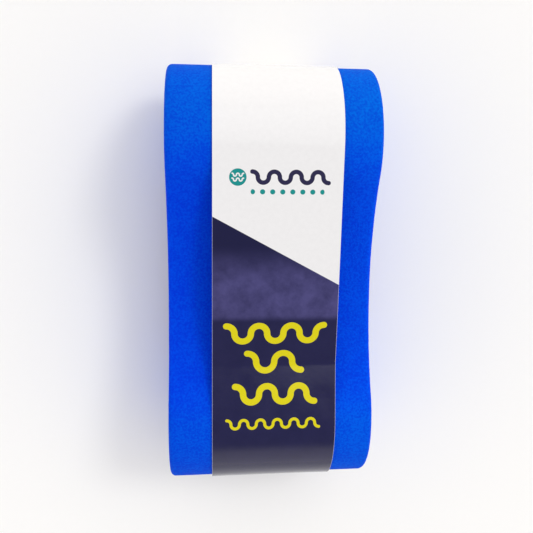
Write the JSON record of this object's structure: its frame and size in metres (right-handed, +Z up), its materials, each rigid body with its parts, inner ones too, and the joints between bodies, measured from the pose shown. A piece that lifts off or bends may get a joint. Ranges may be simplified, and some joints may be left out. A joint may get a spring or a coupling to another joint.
{
  "type": "pull buoy",
  "caption": "Figure-eight foam pull buoy with a waist for the thighs, inside a printed retail wrap of card that slides off sideways.",
  "frame": {"origin": "on the ground under the middle of the float, which lies on its broad side", "axes": "+X across the width and along both rolls, +Y along the length from roll to roll, +Z up through the thickness, with the printed front on top"},
  "size_m": [0.127, 0.2696, 0.0926],
  "materials": {
    "eva_foam": "matte",
    "printed_card": "gloss",
    "seam_tape": "satin"
  },
  "bodies": {
    "float": {"foam_float": "eva_foam"},
    "wrap": {"wrap_strip": "printed_card", "seam_tape": "seam_tape"}
  },
  "joints": [
    {"name": "wrap_slide", "type": "slide", "parent": "float", "child": "wrap", "axis": [1, 0, 0], "range_m": [-0.105, 0.105]}
  ]
}
